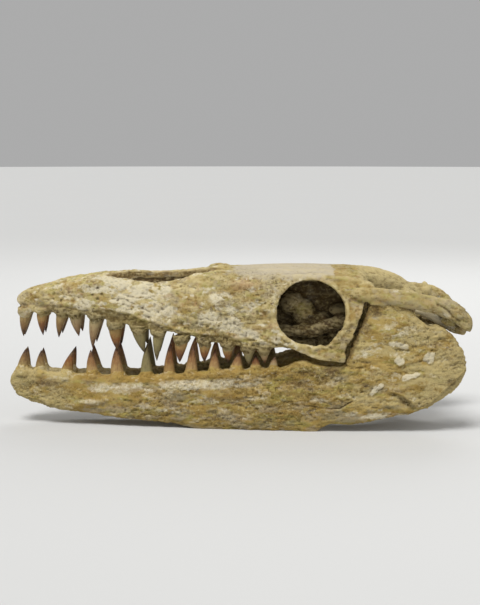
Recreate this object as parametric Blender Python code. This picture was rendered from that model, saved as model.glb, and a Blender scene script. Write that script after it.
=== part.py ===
"""Fossil mosasaur skull: a cranium, a left and a right lower jaw, and fifty teeth.

The snout points to -X, the animal's left side faces -Y, and +Z is up.
The skull stands on the flattened undersides of its two lower jaws, at z = 0.
Every size below is in millimetres; MM turns it into Blender's metres.
"""

import math

import bmesh
import bpy
import numpy as np
from mathutils import Matrix, Vector

MM = 0.001
ORIGIN_X = -3.8          # x, in the tables below, of the frame's origin
SIDES = {"left": -1, "right": 1}

# Cranium, as (x, value) along the skull from the snout tip
HALF_WIDTH = [(-275, 3), (-271, 9), (-262, 14), (-240, 20), (-200, 28), (-150, 36), (-100, 43.5),
              (-50, 50.5), (0, 57), (50, 63), (100, 68), (146, 71.5), (152, 69), (162, 38)]
ROOF_TOP = [(-275, 156), (-268, 163), (-253, 170), (-234, 175), (-202, 182), (-164, 188), (-96, 189),
            (-62, 190), (-36, 193), (0, 195), (66, 197), (118, 196), (150, 194), (162, 190.5)]
ROOF_EDGE = [(-275, 155), (-253, 163), (-234, 168), (-202, 175), (-164, 183), (-140, 183), (-121, 179),
             (-101, 177), (-85, 178.5), (-66, 182), (-50, 187), (64, 187), (115, 186), (136, 183.5),
             (148, 178), (156, 169), (162, 159)]
JAW_LINE = [(-275, 152), (-268, 143), (-255, 138), (-229, 141), (-211, 139), (-187, 137), (-163, 132),
            (-139, 127), (-111, 121), (-88, 119), (-53, 113), (-29, 106), (-7, 104), (19, 100), (36, 101),
            (51, 102), (70, 97), (87, 90), (107, 86), (150, 85)]
MARGIN_THICKNESS = [(-275, 14), (20, 14), (48, 9), (150, 9)]
CAVITY_DEPTH = [(-275, 0), (-236, 0), (-212, 0.4), (-180, 0.85), (-150, 1), (150, 1)]
WALL = 9                 # thickness of the side walls and of the roof
FACE_FRONT, FACE_BACK = -275, 162
FACE_STEP = 6

ORBIT = (84.5, 143.5, 41.5, 39)             # centre x, z and radii of the eye socket
ORBIT_CORNER = (99, 116, 12, 12)            # its squarer lower back corner
ORBIT_DEPTH = (38, 110)                     # nearest and furthest y that the cut reaches
NARIS = (-97, 20, 190, 62, 12.5, 20)        # centre x, y, z and radii of each nostril
POSTORBITAL_BACK = [(126, 60), (126, 106), (133, 115), (139, 127), (146, 146), (149, 158), (200, 158),
                    (200, 60)]
POSTORBITAL_DEPTH = (56, 110)
FORAMEN_MAGNUM = (134, 7.5, 200, 250)       # z, radius, and the x that it runs between

# Bars and processes: (x, y, z, half-width, half-height), y as a distance from the midline
TEMPORAL_BAR = [(126, 54, 167, 4, 7), (142, 63, 166, 5.5, 8.5), (158, 68, 166, 5.5, 9),
                (174, 70, 165, 5.5, 9.3), (202, 72.5, 160, 6, 10.5), (228, 74, 155, 6.5, 10.5),
                (246, 74, 150, 8, 12), (258, 74, 143.5, 9, 11.5), (266, 74, 135, 7.5, 9.5),
                (269, 74, 128, 6, 7), (268.5, 74, 124, 4, 5)]
SUPRATEMPORAL_ARM = [(196, 6, 164, 8, 9), (220, 30, 154, 7.5, 8), (238, 54, 149, 8, 8), (250, 70, 147, 8, 9)]
TEMPORAL_WALL = [(134, 40, 178, 8, 9), (150, 28, 176, 6, 11), (170, 20, 174, 5, 12), (195, 13, 166, 4, 10)]
LOWER_ARM = [(210, 55, 146, 3.5, 3.5), (220, 56, 143.5, 4, 4.5), (232, 57, 137.5, 4.5, 5),
             (246, 58, 129.5, 5, 6), (258, 62, 125, 5, 6.5), (267, 69, 123.5, 4.5, 5)]
PAROCCIPITAL_PROCESS = [(203, 14, 142, 8, 12), (232, 42, 136, 5.5, 8), (250, 56, 128, 5, 6)]
PTERYGOID = [(8, 22, 121, 7, 4), (50, 24, 118, 7, 7), (80, 23, 117, 8, 8), (105, 25, 122, 8, 9),
             (125, 27, 128, 8, 9), (150, 29, 124, 7, 6), (190, 42, 112, 5, 7), (215, 50, 106, 3.5, 5)]
PALATE_KEEL = [(34, 0, 108, 12, 9), (60, 0, 104, 18, 12), (92, 0, 103, 18, 12), (118, 0, 108, 14, 10)]
PALATINE = [(-60, 4, 126, 7, 4.5), (-20, 15, 122, 9, 4), (20, 25, 122, 8, 4)]
ECTOPTERYGOID = [(34, 24, 123, 5, 4), (42, 44, 116, 5, 4), (46, 58, 108, 5, 5)]
BASIPTERYGOID = [(168, 8, 114, 8, 6), (162, 29, 122, 6, 5)]
VOMER = [(-245, 0, 142, 6, 5), (-150, 0, 136, 6, 5), (-60, 0, 127, 9, 5), (-10, 0, 123, 12, 4)]
PARIETAL = [(122, 0, 188, 34, 7), (150, 0, 187, 26, 8), (170, 0, 182, 19, 10), (190, 0, 175, 14, 10),
            (208, 0, 166, 13, 7), (222, 0, 159, 11, 7)]
BRAINCASE = [(30, 0, 168, 6, 22), (50, 0, 153, 9, 38), (90, 0, 149, 12, 40), (125, 0, 149, 17, 40),
             (160, 0, 145, 20, 40), (190, 0, 140, 22, 33), (212, 0, 135, 22, 27), (226, 0, 130, 15, 17)]

# Rounded masses: (x, y, z) and three radii
MIDLINE_MASSES = [((231, 0, 115), (9, 10, 8.5)), ((229, 0, 163), (8, 9, 9)), ((227.5, 0, 171), (4, 5, 4.5))]
PAIRED_MASSES = [((64, 10, 150), (17, 14, 15)), ((78, 13, 138), (16, 12, 18)), ((98, 14, 129), (14, 10, 12)),
                 ((122, 20, 143), (13, 11, 8)), ((-24, 13, 192), (15, 6, 4.5)), ((167, 67, 158), (14, 6, 8)),
                 ((250, 65, 135), (11, 6.5, 8)), ((149, 49, 173), (13, 12, 8))]
# Teeth of the pterygoid: x, radius at the base, z of the tip
PTERYGOID_TEETH = [(54, 4.5, 109), (67, 3.8, 110.5), (84, 5.4, 108.5), (97, 4.4, 110), (112, 5, 109)]
PTERYGOID_TEETH_ROOT = (25, 116)            # y and z that they grow from

# Lower jaw, as (x, value) from its front end
JAW_TOP = [(-284, 56), (-281, 62), (-275, 67), (-260, 67), (-226, 65), (-172, 63), (-130, 62), (-98, 64.5),
           (-72, 66.5), (-44, 70.5), (-17, 73), (8, 74), (30, 75), (45, 76.5), (60, 80), (70, 84), (78, 86),
           (88, 82.5), (124, 81.5),
           (130, 96), (140, 117), (149, 138), (154, 152), (160, 157), (174, 157), (182, 151), (205, 145),
           (214, 137),
           (226, 130), (232, 133), (239, 130), (250, 121), (261, 108), (267, 94), (269.5, 80)]
JAW_BOTTOM = [(-284, 50), (-280, 41), (-264, 30), (-240, 22), (-211, 17), (-173, 13), (-135, 8), (-97, 6),
              (-72, 3), (-55, -1.5), (0, -1.6), (56, -1.6), (92, -1.2), (100, 5), (118, 10), (135, 8),
              (149, 11), (185, 19), (213, 25), (231, 33), (243, 42), (259, 54), (266, 65), (269.5, 76)]
JAW_CENTRE = [(-284, 6.5), (-270, 7.5), (-255, 8.5), (-240, 12), (-213, 16), (-182, 20.5), (-150, 25.5),
              (-113, 31), (-85, 35), (-59, 38.5), (-30, 42.5), (0, 46.5), (40, 52), (90, 57.5), (130, 62),
              (170, 66), (215, 69), (270, 71)]
JAW_THICKNESS = [(-284, 5), (-280, 10), (-270, 14), (-255, 16), (-240, 17), (-200, 19), (-100, 20), (0, 20),
                 (60, 19), (100, 17), (140, 14), (180, 12.5), (230, 12), (262, 9), (270, 5)]
JAW_FRONT, JAW_BACK, JAW_STEP = -284, 269.5, 3
PLATE_LEAN = (120, 165, 100, 7)             # x that it fades out between, z that it starts at, and its depth
JAW_SQUARENESS = 0.55
JAW_SIDES = 20
SYMPHYSIS_GAP = 0.6      # between the two jaws, where they meet at the front
SEAT_HEIGHT, SEAT_GAP = 154, 0.3            # where the back of the jaw meets the cranium's temporal bar
SEAT_REACH = (152, 182, 50, 95)             # front, back and the y that the flat seat lies between
BLOCK_BELOW_GROUND = [(-320, -40), (320, -40), (320, 0), (-320, 0)]
BLOCK_AT_MIDLINE = [(-320, -40), (320, -40), (320, 200), (-320, 200)]

# Teeth: x and z of the crown's neck, x and z of its tip, and its radius at the neck
UPPER_TEETH = [(-264, 134, -267, 108, 5.9), (-243, 135, -242, 110, 5.3), (-218, 135, -222, 108, 5.5),
               (-201, 134, -197, 110, 6.2), (-176, 130, -180, 96, 6.2), (-152, 120, -149, 93, 6.8),
               (-123, 116, -116, 91, 6.6), (-99, 111, -101, 82, 5.4), (-71, 104, -73, 81, 6.6),
               (-42, 103, -43, 82, 6.2), (-15, 99, -14, 82, 5.6), (10, 95, 11, 79, 5), (29, 94, 30, 82, 4.5)]
LOWER_TEETH = [(-268, 70, -264, 93, 6), (-246, 69, -245, 91, 5.4), (-213, 67, -205, 92, 6.2),
               (-181, 66, -183, 93, 6.2), (-150, 65, -151, 98, 7), (-114, 65, -113, 102, 6.2),
               (-86, 67, -84, 106, 5.8), (-59, 70, -56, 101, 6.4), (-31, 73, -30, 97, 5.8),
               (-4, 75, -1, 95, 6), (19, 76, 19, 92, 5.2), (40, 77.5, 42, 90, 4.4)]
UPPER_ROW_INSET = 6.5    # from the cranium's outer face to the tooth row
ROOT_LENGTH = 10         # of a tooth, inside its socket
CROWN_RINGS = [(0, 1), (0.55, 0.68)]        # share of the crown's length, share of its radius
CROWN_FLATNESS = 0.86    # its width across the jaw, as a share of that along it
CROWN_SIDES = 6
SOCKET_GAP = 0.4
PEDESTAL_OVERLAP = 2.5   # how far the bone collar climbs past the neck
PEDESTAL_DEPTH = 9       # how far the collar is sunk in the jaw
PEDESTAL_FLARE = 3.7     # how much wider than the crown it is in the jaw
PEDESTAL_LIP = 2.1       # and past the neck

VOXEL = 2.2
CRANIUM_TRIANGLES, JAW_TRIANGLES = 2900, 850
BONE = ((0.56, 0.46, 0.27, 1), 0.75)
TOOTH = ((0.38, 0.19, 0.09, 1), 0.35)


def clear_scene():
    for obj in list(bpy.data.objects):
        bpy.data.objects.remove(obj)


def along(table, x):
    """Value at x on the smooth curve through a table of (x, value)."""
    xs, values = np.array(table, float).T
    slopes = np.gradient(values, xs)
    steps = np.diff(values) / np.diff(xs)
    flat = np.sign(steps[:-1]) != np.sign(steps[1:])
    slopes[1:-1][flat] = 0
    i = int(np.clip(np.searchsorted(xs, x) - 1, 0, len(xs) - 2))
    width = xs[i + 1] - xs[i]
    t = np.clip((x - xs[i]) / width, 0, 1)
    rise = (2 * t - 3) * t * t
    return (values[i] * (1 + rise) - values[i + 1] * rise
            + width * t * (1 - t) * (slopes[i] * (1 - t) - slopes[i + 1] * t))


def loft(rings):
    """A closed mesh skinned over rings of (x, y, z) points in millimetres."""
    mesh = bmesh.new()
    made = [[mesh.verts.new(Vector(p) * MM) for p in ring] for ring in rings]
    count = len(made[0])
    for near, far in zip(made, made[1:]):
        for i in range(count):
            j = (i + 1) % count
            mesh.faces.new((near[i], near[j], far[j], far[i]))
    mesh.faces.new(made[0][::-1])
    mesh.faces.new(made[-1])
    bmesh.ops.recalc_face_normals(mesh, faces=mesh.faces)
    return mesh


def tube(stations, side=1, sides=12, between=4):
    """A bar of elliptical section through (x, y, z, half-width, half-height) stations."""
    table = np.array(stations, float)
    table[:, 1] *= side
    spots = np.arange(len(table))
    steps = np.linspace(0, len(table) - 1, (len(table) - 1) * between + 1)
    path = np.array([[along(list(zip(spots, column)), s) for column in table.T] for s in steps])
    rings = []
    for i, (x, y, z, wide, tall) in enumerate(path):
        ahead = Vector(path[min(i + 1, len(path) - 1), :3] - path[max(i - 1, 0), :3]).normalized()
        across = ahead.cross(Vector((0, 0, 1))).normalized()
        upward = across.cross(ahead)
        turns = [2 * math.pi * k / sides for k in range(sides)]
        rings.append([Vector((x, y, z)) + across * wide * math.cos(a) + upward * tall * math.sin(a)
                      for a in turns])
    return loft(rings)


def ball(centre, radii, side=1):
    mesh = bmesh.new()
    x, y, z = centre
    place = Matrix.Translation(Vector((x, y * side, z)) * MM) @ Matrix.Diagonal((*(Vector(radii) * MM), 1))
    bmesh.ops.create_icosphere(mesh, subdivisions=3, radius=1, matrix=place)
    return mesh


def prism(outline, near, far, side):
    """A block whose (x, z) outline runs from one y to another, on one side of the skull."""
    return loft([[(x, side * y, z) for x, z in outline] for y in (near, far)])


def ellipse(x, z, wide, tall, count=32):
    turns = [2 * math.pi * k / count for k in range(count)]
    return [(x + wide * math.cos(a), z + tall * math.sin(a)) for a in turns]


def cone(low, high, low_radius, high_radius, sides=14):
    """A round-sectioned collar between two (x, y, z) points."""
    return loft([[(x + r * math.cos(a), y + r * math.sin(a), z)
                  for a in (2 * math.pi * k / sides for k in range(sides))]
                 for (x, y, z), r in ((low, low_radius), (high, high_radius))])


def join(meshes):
    """One bmesh holding several."""
    whole = bmesh.new()
    for mesh in meshes:
        data = bpy.data.meshes.new("piece")
        mesh.to_mesh(data)
        mesh.free()
        whole.from_mesh(data)
        bpy.data.meshes.remove(data)
    return whole


def make_object(name, mesh):
    data = bpy.data.meshes.new(name)
    mesh.to_mesh(data)
    mesh.free()
    obj = bpy.data.objects.new(name, data)
    bpy.context.scene.collection.objects.link(obj)
    return obj


def bake(obj):
    """Gives an object the mesh that its modifiers make."""
    bpy.context.view_layer.update()
    graph = bpy.context.evaluated_depsgraph_get()
    data = bpy.data.meshes.new_from_object(obj.evaluated_get(graph))
    obj.modifiers.clear()
    obj.data = data
    return obj


def cut(obj, cutters):
    """Takes the joined cutters out of an object."""
    tool = make_object("cutter", join(cutters))
    boolean = obj.modifiers.new("cut", "BOOLEAN")
    boolean.operation = "DIFFERENCE"
    boolean.object = tool
    bake(obj)
    bpy.data.objects.remove(tool)
    return obj


def fuse(obj, triangles):
    """Grows an object's overlapping shapes into one skin of about so many triangles."""
    remesh = obj.modifiers.new("skin", "REMESH")
    remesh.mode = "VOXEL"
    remesh.voxel_size = VOXEL * MM
    smooth = obj.modifiers.new("soften", "SMOOTH")
    smooth.factor = 0.5
    smooth.iterations = 3
    bake(obj)
    decimate = obj.modifiers.new("thin", "DECIMATE")
    decimate.ratio = triangles / (2 * len(obj.data.polygons))
    return bake(obj)


def paint(obj, name, finish):
    colour, roughness = finish
    material = bpy.data.materials.get(name) or bpy.data.materials.new(name)
    material.use_nodes = True
    shader = material.node_tree.nodes["Principled BSDF"]
    shader.inputs["Base Color"].default_value = colour
    shader.inputs["Roughness"].default_value = roughness
    obj.data.materials.clear()
    obj.data.materials.append(material)


def face_section(x):
    """The roof, the side walls and the hollow under them, as one ring at x."""
    wide, top, edge, low = (along(t, x) for t in (HALF_WIDTH, ROOF_TOP, ROOF_EDGE, JAW_LINE))
    thick = min(along(MARGIN_THICKNESS, x), wide - 1)
    rise = edge - low
    outer = [(wide, low), (wide, low + 0.3 * rise), (0.95 * wide, low + 0.62 * rise),
             (0.86 * wide, low + 0.88 * rise), (0.76 * wide, edge), (0.5 * wide, edge + 0.62 * (top - edge)),
             (0.22 * wide, edge + 0.93 * (top - edge))]
    depth = along(CAVITY_DEPTH, x)
    ceiling = depth * (top - WALL - low)
    shoulder = depth * max(edge - WALL - 2 - low, 0)
    reach = max(wide - thick, 0.5)
    inner = [(reach, low), (reach, low + 0.3 * shoulder),
             (max(0.95 * wide - WALL, 0.4), low + 0.62 * shoulder),
             (max(0.7 * wide - WALL * 0.6, 0.3), low + shoulder), (0.25 * wide, low + ceiling)]
    left = [(x, -y, z) for y, z in outer] + [(x, 0, top)]
    right = [(x, y, z) for y, z in reversed(outer)]
    under = ([(x, y, z) for y, z in inner] + [(x, 0, low + ceiling)]
             + [(x, -y, z) for y, z in reversed(inner)])
    return left + right + under


def tooth_places(side):
    """Every tooth of one side: name, neck, tip, radius and the way that it points."""
    places = []
    for row, teeth, down in (("upper", UPPER_TEETH, -1), ("lower", LOWER_TEETH, 1)):
        for number, (x, z, tip_x, tip_z, radius) in enumerate(teeth, 1):
            inset = {"upper": along(HALF_WIDTH, x) - UPPER_ROW_INSET, "lower": along(JAW_CENTRE, x)}[row]
            y = SIDES[side] * inset
            places.append((row, f"{side}_{row}_tooth_{number:02d}", Vector((x, y, z)),
                           Vector((tip_x, y, tip_z)), radius, down))
    return places


def tooth(neck, tip, radius, down, gap=0):
    """A crown on its root; gap grows it into the cutter of its socket."""
    rings = [(neck - Vector((0, 0, down * (ROOT_LENGTH + gap))), 0.55 * radius + gap)]
    for share, width in CROWN_RINGS:
        rings.append((neck.lerp(tip, share), width * radius + gap))
    rings.append((tip + Vector((0, 0, down * gap)), 0.25 + gap))
    turns = [2 * math.pi * (k + 0.5) / CROWN_SIDES for k in range(CROWN_SIDES)]
    return loft([[centre + Vector((r * math.cos(a), r * CROWN_FLATNESS * math.sin(a), 0)) for a in turns]
                 for centre, r in rings])


def pedestal(neck, radius, down):
    """The collar of bone that a tooth grows from."""
    low = neck - Vector((0, 0, down * PEDESTAL_DEPTH))
    high = neck + Vector((0, 0, down * PEDESTAL_OVERLAP))
    return cone(low, high, radius + PEDESTAL_FLARE, radius + PEDESTAL_LIP)


def face_shell():
    """Snout, cheeks and roof, with the eye sockets and nostrils cut through."""
    xs = [FACE_FRONT, FACE_FRONT + 2, *np.arange(FACE_FRONT + 5, FACE_BACK, FACE_STEP), FACE_BACK]
    shell = make_object("shell", loft([face_section(x) for x in xs]))
    cutters = []
    for side in SIDES.values():
        cutters.append(prism(ellipse(*ORBIT), *ORBIT_DEPTH, side))
        cutters.append(prism(ellipse(*ORBIT_CORNER, count=16), *ORBIT_DEPTH, side))
        cutters.append(prism(POSTORBITAL_BACK, *POSTORBITAL_DEPTH, side))
        cutters.append(ball(NARIS[:3], NARIS[3:], side))
    for cutter in cutters:
        cut(shell, [cutter])
    mesh = bmesh.new()
    mesh.from_mesh(shell.data)
    bpy.data.objects.remove(shell)
    return mesh


def seat_block(height, direction, side):
    """A cutter that levels the flat seat between jaw and temporal bar, from above or from below."""
    front, back, near, far = SEAT_REACH
    over = height + direction * 25
    return prism([(front, height), (back, height), (back, over), (front, over)], near, far, side)


def cranium():
    """Everything above the jaws, grown together."""
    parts = [face_shell()] + [tube(bar) for bar in (VOMER, PARIETAL, BRAINCASE, PALATE_KEEL)]
    parts += [ball(*mass) for mass in MIDLINE_MASSES]
    for side in SIDES.values():
        for bar in (TEMPORAL_BAR, SUPRATEMPORAL_ARM, TEMPORAL_WALL, LOWER_ARM, PAROCCIPITAL_PROCESS,
                    PTERYGOID, PALATINE, ECTOPTERYGOID, BASIPTERYGOID):
            parts.append(tube(bar, side))
        parts += [ball(*mass, side) for mass in PAIRED_MASSES]
        y, root = PTERYGOID_TEETH_ROOT
        for x, radius, tip in PTERYGOID_TEETH:
            parts.append(cone((x, side * y, root), (x + 2, side * y, tip), radius, 0.4 * radius))
    sockets = []
    for name in SIDES:
        for row, _, neck, tip, radius, down in tooth_places(name):
            if row == "upper":
                parts.append(pedestal(neck, radius, down))
                sockets.append(tooth(neck, tip, radius, down, SOCKET_GAP))
    obj = make_object("cranium", join(parts))
    fuse(obj, CRANIUM_TRIANGLES)
    height, radius, front, back = FORAMEN_MAGNUM
    turns = [2 * math.pi * k / 12 for k in range(12)]
    canal = loft([[(x, radius * math.cos(a), height + radius * math.sin(a)) for a in turns]
                  for x in (front, back)])
    cut(obj, [canal])
    cut(obj, [seat_block(SEAT_HEIGHT + SEAT_GAP, -1, side) for side in SIDES.values()])
    return cut(obj, sockets)


def jaw_section(x):
    """A tall rounded ring of the left lower jaw at x."""
    top, low, centre, thick = (along(t, x) for t in (JAW_TOP, JAW_BOTTOM, JAW_CENTRE, JAW_THICKNESS))
    start, end, lean_z, lean = PLATE_LEAN
    share = np.clip((end - x) / (end - start), 0, 1) * (x > start - 1)
    ring = []
    for k in range(JAW_SIDES):
        turn = 2 * math.pi * k / JAW_SIDES
        c, s = math.cos(turn), math.sin(turn)
        out = math.copysign(abs(c) ** JAW_SQUARENESS, c)
        rise = math.copysign(abs(s) ** JAW_SQUARENESS, s)
        z = (top + low) / 2 + rise * (top - low) / 2
        inward = lean * share * np.clip((z - lean_z) / 50, 0, 1)
        ring.append((x, -centre + inward + out * thick / 2, z))
    return ring


def left_lower_jaw():
    """Dentary, back of the jaw and quadrate in one mass, as the restorer left them."""
    xs = [*np.arange(JAW_FRONT, JAW_BACK, JAW_STEP), JAW_BACK]
    parts, sockets = [loft([jaw_section(x) for x in xs])], []
    for row, _, neck, tip, radius, down in tooth_places("left"):
        if row == "lower":
            parts.append(pedestal(neck, radius, down))
            sockets.append(tooth(neck, tip, radius, down, SOCKET_GAP))
    obj = make_object("left_lower_jaw", join(parts))
    fuse(obj, JAW_TRIANGLES)
    cut(obj, sockets)
    cut(obj, [prism(BLOCK_BELOW_GROUND, -40, 120, SIDES["left"])])
    cut(obj, [seat_block(SEAT_HEIGHT, 1, SIDES["left"])])
    return cut(obj, [prism(BLOCK_AT_MIDLINE, SYMPHYSIS_GAP / 2, -60, SIDES["left"])])


def mirrored(obj, name):
    """The same shape on the other side of the midline."""
    mesh = bmesh.new()
    mesh.from_mesh(obj.data)
    bmesh.ops.scale(mesh, vec=(1, -1, 1), verts=mesh.verts)
    bmesh.ops.reverse_faces(mesh, faces=mesh.faces)
    return make_object(name, mesh)


def main():
    clear_scene()
    bones = [cranium(), left_lower_jaw()]
    bones.append(mirrored(bones[1], "right_lower_jaw"))
    teeth = [make_object(name, tooth(neck, tip, radius, down))
             for side in SIDES for _, name, neck, tip, radius, down in tooth_places(side)]
    for obj, material, finish in [(o, "bone", BONE) for o in bones] + [(o, "tooth", TOOTH) for o in teeth]:
        paint(obj, material, finish)
        obj.location.x = -ORIGIN_X * MM


main()
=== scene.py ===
"""Looks of a fossil mosasaur skull: weathered bone, chipped and stained, with brown glossy tooth crowns.

The bones and the teeth are modelled again here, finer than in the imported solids, and stand for them.
Sizes are in millimetres unless a name says otherwise; MM turns them into metres.
"""

import functools
import itertools
import math

import bmesh
import bpy
import numpy as np
from mathutils import Matrix, Vector


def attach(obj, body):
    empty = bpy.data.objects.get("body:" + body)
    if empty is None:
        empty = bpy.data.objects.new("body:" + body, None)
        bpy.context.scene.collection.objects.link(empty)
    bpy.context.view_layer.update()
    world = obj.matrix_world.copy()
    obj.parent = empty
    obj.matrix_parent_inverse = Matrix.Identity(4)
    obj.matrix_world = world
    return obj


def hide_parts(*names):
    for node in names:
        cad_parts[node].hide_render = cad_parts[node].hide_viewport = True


MM = 0.001
ORIGIN_X = -3.8  # x, in the tables below, of the frame's origin
SIDES = {"left": -1, "right": 1}
BODY = "root"

# Camera: 7 degrees above the level, with the photograph's framing
IMAGE_HEIGHT = 605
FOCAL_PIXELS = 1416.67
SENSOR = 36
CAMERA_TARGET = (3.8, 0, 148.86)
CAMERA_DISTANCE = 1750
CAMERA_PITCH = 7

# Cranium, as (x, value) along the skull from the snout tip
HALF_WIDTH = [
    (-275, 3), (-271, 9), (-262, 14), (-240, 20), (-200, 28), (-150, 36), (-100, 43.5), (-50, 50.5), (0, 57),
    (50, 63), (100, 68), (146, 71.5), (152, 69), (162, 38)]
ROOF_TOP = [
    (-275, 156), (-268, 163), (-253, 170), (-234, 175), (-202, 182), (-164, 188), (-96, 189), (-62, 190),
    (-36, 193), (0, 195), (66, 197), (118, 196), (150, 194), (162, 190.5)]
ROOF_EDGE = [
    (-275, 155), (-253, 163), (-234, 168), (-202, 175), (-164, 183), (-140, 183), (-121, 179), (-101, 177),
    (-85, 178.5), (-66, 182), (-50, 187), (64, 187), (115, 186), (136, 183.5), (148, 178), (156, 169),
    (162, 159)]
JAW_LINE = [
    (-275, 152), (-268, 143), (-255, 138), (-229, 141), (-211, 139), (-187, 137), (-163, 132), (-139, 127),
    (-111, 121), (-88, 119), (-53, 113), (-29, 106), (-7, 104), (19, 100), (36, 101), (51, 102), (70, 97),
    (87, 90), (107, 86), (150, 85)]
MARGIN_THICKNESS = [(-275, 14), (20, 14), (48, 9), (150, 9)]
CAVITY_DEPTH = [(-275, 0), (-236, 0), (-212, 0.4), (-180, 0.85), (-150, 1), (150, 1)]
WALL = 9  # thickness of the side walls and of the roof
FACE_FRONT, FACE_BACK = -275, 162
FACE_STEP = 4

ORBIT = (84.5, 143.5, 41.5, 39)  # centre x, z and radii of the eye socket
ORBIT_CORNER = (99, 116, 12, 12)  # its squarer lower back corner
ORBIT_DEPTH = (38, 110)  # nearest and furthest y that the cut reaches
NARIS = (-97, 20, 190, 62, 12.5, 20)  # centre x, y, z and radii of each nostril
POSTORBITAL_BACK = [
    (126, 60), (126, 106), (133, 115), (139, 127), (146, 146), (149, 158), (200, 158), (200, 60)]
POSTORBITAL_DEPTH = (56, 110)
FORAMEN_MAGNUM = (134, 7.5, 200, 250)  # z, radius, and the x that it runs between

# Bars and processes: (x, y, z, half-width, half-height), y as a distance from the midline
TEMPORAL_BAR = [
    (126, 54, 167, 4, 7), (142, 63, 166, 5.5, 8.5), (158, 68, 166, 5.5, 9), (174, 70, 165, 5.5, 9.3),
    (202, 72.5, 160, 6, 10.5), (228, 74, 155, 6.5, 10.5), (246, 74, 150, 8, 12), (258, 74, 143.5, 9, 11.5),
    (266, 74, 135, 7.5, 9.5), (269, 74, 128, 6, 7), (268.5, 74, 124, 4, 5)]
SUPRATEMPORAL_ARM = [(196, 6, 164, 8, 9), (220, 30, 154, 7.5, 8), (238, 54, 149, 8, 8), (250, 70, 147, 8, 9)]
TEMPORAL_WALL = [(134, 40, 178, 8, 9), (150, 28, 176, 6, 11), (170, 20, 174, 5, 12), (195, 13, 166, 4, 10)]
LOWER_ARM = [
    (210, 55, 146, 3.5, 3.5), (220, 56, 143.5, 4, 4.5), (232, 57, 137.5, 4.5, 5), (246, 58, 129.5, 5, 6),
    (258, 62, 125, 5, 6.5), (267, 69, 123.5, 4.5, 5)]
PAROCCIPITAL_PROCESS = [(203, 14, 142, 8, 12), (232, 42, 136, 5.5, 8), (250, 56, 128, 5, 6)]
PTERYGOID = [
    (8, 22, 121, 7, 4), (50, 24, 118, 7, 7), (80, 23, 117, 8, 8), (105, 25, 122, 8, 9), (125, 27, 128, 8, 9),
    (150, 29, 124, 7, 6), (190, 42, 112, 5, 7), (215, 50, 106, 3.5, 5)]
PALATE_KEEL = [(34, 0, 108, 12, 9), (60, 0, 104, 18, 12), (92, 0, 103, 18, 12), (118, 0, 108, 14, 10)]
PALATINE = [(-60, 4, 126, 7, 4.5), (-20, 15, 122, 9, 4), (20, 25, 122, 8, 4)]
ECTOPTERYGOID = [(34, 24, 123, 5, 4), (42, 44, 116, 5, 4), (46, 58, 108, 5, 5)]
BASIPTERYGOID = [(168, 8, 114, 8, 6), (162, 29, 122, 6, 5)]
VOMER = [(-245, 0, 142, 6, 5), (-150, 0, 136, 6, 5), (-60, 0, 127, 9, 5), (-10, 0, 123, 12, 4)]
PARIETAL = [
    (122, 0, 188, 34, 7), (150, 0, 187, 26, 8), (170, 0, 182, 19, 10), (190, 0, 175, 14, 10),
    (208, 0, 166, 13, 7), (222, 0, 159, 11, 7)]
BRAINCASE = [
    (30, 0, 168, 6, 22), (50, 0, 153, 9, 38), (90, 0, 149, 12, 40), (125, 0, 149, 17, 40),
    (160, 0, 145, 20, 40), (190, 0, 140, 22, 33), (212, 0, 135, 22, 27), (226, 0, 130, 15, 17)]

# Rounded masses: (x, y, z) and three radii
MIDLINE_MASSES = [((231, 0, 115), (9, 10, 8.5)), ((229, 0, 163), (8, 9, 9)), ((227.5, 0, 171), (4, 5, 4.5))]
PAIRED_MASSES = [
    ((64, 10, 150), (17, 14, 15)), ((78, 13, 138), (16, 12, 18)), ((98, 14, 129), (14, 10, 12)),
    ((122, 20, 143), (13, 11, 8)), ((-24, 13, 192), (15, 6, 4.5)), ((167, 67, 158), (14, 6, 8)),
    ((250, 65, 135), (11, 6.5, 8)), ((149, 49, 173), (13, 12, 8))]
# Teeth of the pterygoid: x, radius at the base, z of the tip
PTERYGOID_TEETH = [(54, 4.5, 109), (67, 3.8, 110.5), (84, 5.4, 108.5), (97, 4.4, 110), (112, 5, 109)]
PTERYGOID_TEETH_ROOT = (25, 116)  # y and z that they grow from

# Lower jaw, as (x, value) from its front end
JAW_TOP = [
    (-284, 56), (-281, 62), (-275, 67), (-260, 67), (-226, 65), (-172, 63), (-130, 62), (-98, 64.5),
    (-72, 66.5), (-44, 70.5), (-17, 73), (8, 74), (30, 75), (45, 76.5), (60, 80), (70, 84), (78, 86),
    (88, 82.5), (124, 81.5), (130, 96), (140, 117), (149, 138), (154, 152), (160, 157), (174, 157),
    (182, 151), (205, 145), (214, 137), (226, 130), (232, 133), (239, 130), (250, 121), (261, 108),
    (267, 94), (269.5, 80)]
JAW_BOTTOM = [
    (-284, 50), (-280, 41), (-264, 30), (-240, 22), (-211, 17), (-173, 13), (-135, 8), (-97, 6), (-72, 3),
    (-55, -1.5), (0, -1.6), (56, -1.6), (92, -1.2), (100, 5), (118, 10), (135, 8), (149, 11), (185, 19),
    (213, 25), (231, 33), (243, 42), (259, 54), (266, 65), (269.5, 76)]
JAW_CENTRE = [
    (-284, 6.5), (-270, 7.5), (-255, 8.5), (-240, 12), (-213, 16), (-182, 20.5), (-150, 25.5), (-113, 31),
    (-85, 35), (-59, 38.5), (-30, 42.5), (0, 46.5), (40, 52), (90, 57.5), (130, 62), (170, 66), (215, 69),
    (270, 71)]
JAW_THICKNESS = [
    (-284, 5), (-280, 10), (-270, 14), (-255, 16), (-240, 17), (-200, 19), (-100, 20), (0, 20), (60, 19),
    (100, 17), (140, 14), (180, 12.5), (230, 12), (262, 9), (270, 5)]
JAW_FRONT, JAW_BACK, JAW_STEP = -284, 269.5, 2
PLATE_LEAN = (120, 165, 100, 7)  # x that it fades out between, z that it starts at, and its depth
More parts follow.
